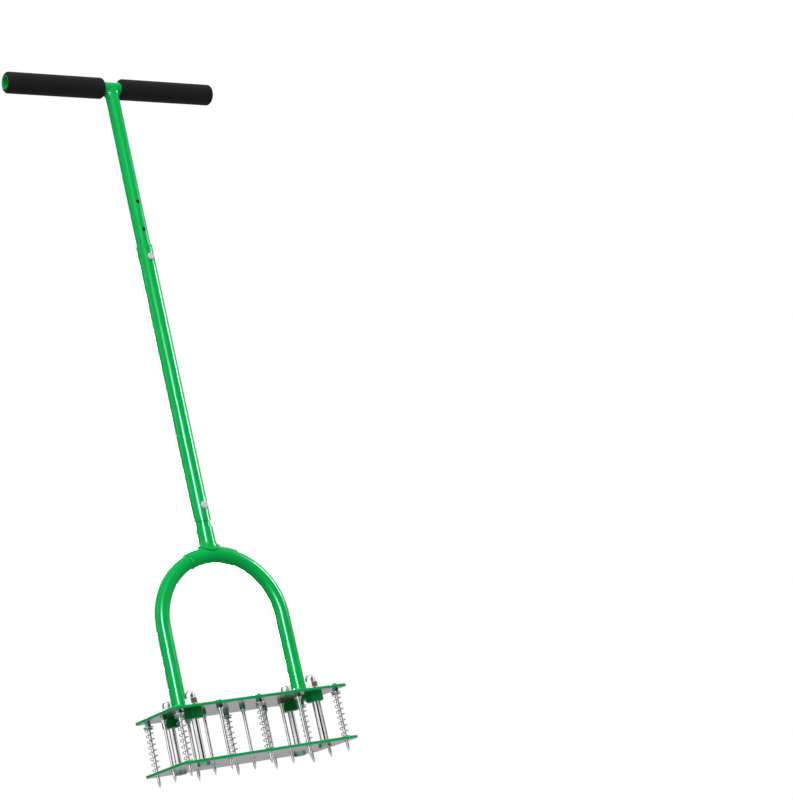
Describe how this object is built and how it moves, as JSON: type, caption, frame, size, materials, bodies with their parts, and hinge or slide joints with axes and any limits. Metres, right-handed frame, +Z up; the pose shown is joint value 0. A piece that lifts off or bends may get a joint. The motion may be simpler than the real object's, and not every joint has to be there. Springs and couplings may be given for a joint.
{
  "type": "lawn aerator fork",
  "caption": "Push-in lawn aerator with a T-handle, two-part shaft, arch, tine plate and a sprung stripper plate that slides up the tines.",
  "frame": {"origin": "centre of the footprint, level with the tine tips", "axes": "+Z up the shaft, +X along the plates and the T-handle, -Y the side the clamp bolt heads are on"},
  "size_m": [0.371, 0.12, 1.115],
  "materials": {
    "green_paint": "gloss powder coat",
    "bright_rod": "bright plated round bar",
    "zinc_hardware": "bright zinc plate",
    "spring_wire": "bright plated spring wire",
    "foam_grip": "matte closed-cell foam"
  },
  "bodies": {
    "frame": {"arch_left": "green_paint", "arch_right": "green_paint", "crown_sleeve": "green_paint", "grip_left": "foam_grip", "grip_right": "foam_grip", "guide_bush_back_left": "green_paint", "guide_bush_back_right": "green_paint", "guide_bush_front_left": "green_paint", "guide_bush_front_right": "green_paint", "leg_welds": "green_paint", "lower_clamp_bolt": "zinc_hardware", "lower_clamp_nut": "zinc_hardware", "outer_shaft": "green_paint", "socket_stub": "green_paint", "spring_back_1": "spring_wire", "spring_back_3": "spring_wire", "spring_back_5": "spring_wire", "spring_front_1": "spring_wire", "spring_front_3": "spring_wire", "spring_front_5": "spring_wire", "spring_seats": "zinc_hardware", "t_bar": "green_paint", "tine_back_1": "bright_rod", "tine_back_2": "bright_rod", "tine_back_3": "bright_rod", "tine_back_4": "bright_rod", "tine_back_5": "bright_rod", "tine_caps": "green_paint", "tine_collars": "zinc_hardware", "tine_front_1": "bright_rod", "tine_front_2": "bright_rod", "tine_front_3": "bright_rod", "tine_front_4": "bright_rod", "tine_front_5": "bright_rod", "tine_middle_1": "bright_rod", "tine_middle_2": "bright_rod", "tine_middle_3": "bright_rod", "tine_middle_4": "bright_rod", "tine_middle_5": "bright_rod", "tine_nuts": "zinc_hardware", "top_plate": "green_paint", "upper_clamp_bolt": "zinc_hardware", "upper_clamp_nut": "zinc_hardware", "upper_shaft": "green_paint"},
    "stripper": {"cap_nut_back_left": "zinc_hardware", "cap_nut_back_right": "zinc_hardware", "cap_nut_front_left": "zinc_hardware", "cap_nut_front_right": "zinc_hardware", "guide_bolt_back_left": "bright_rod", "guide_bolt_back_right": "bright_rod", "guide_bolt_front_left": "bright_rod", "guide_bolt_front_right": "bright_rod", "stripper_plate": "green_paint"}
  },
  "joints": [
    {"name": "stripper_slide", "type": "slide", "parent": "frame", "child": "stripper", "axis": [0, 0, 1], "range_m": [0, 0.05], "stiffness_N_per_m": 5700, "springref_m": -0.006, "deforming": ["spring_back_1", "spring_back_3", "spring_back_5", "spring_front_1", "spring_front_3", "spring_front_5"]}
  ]
}
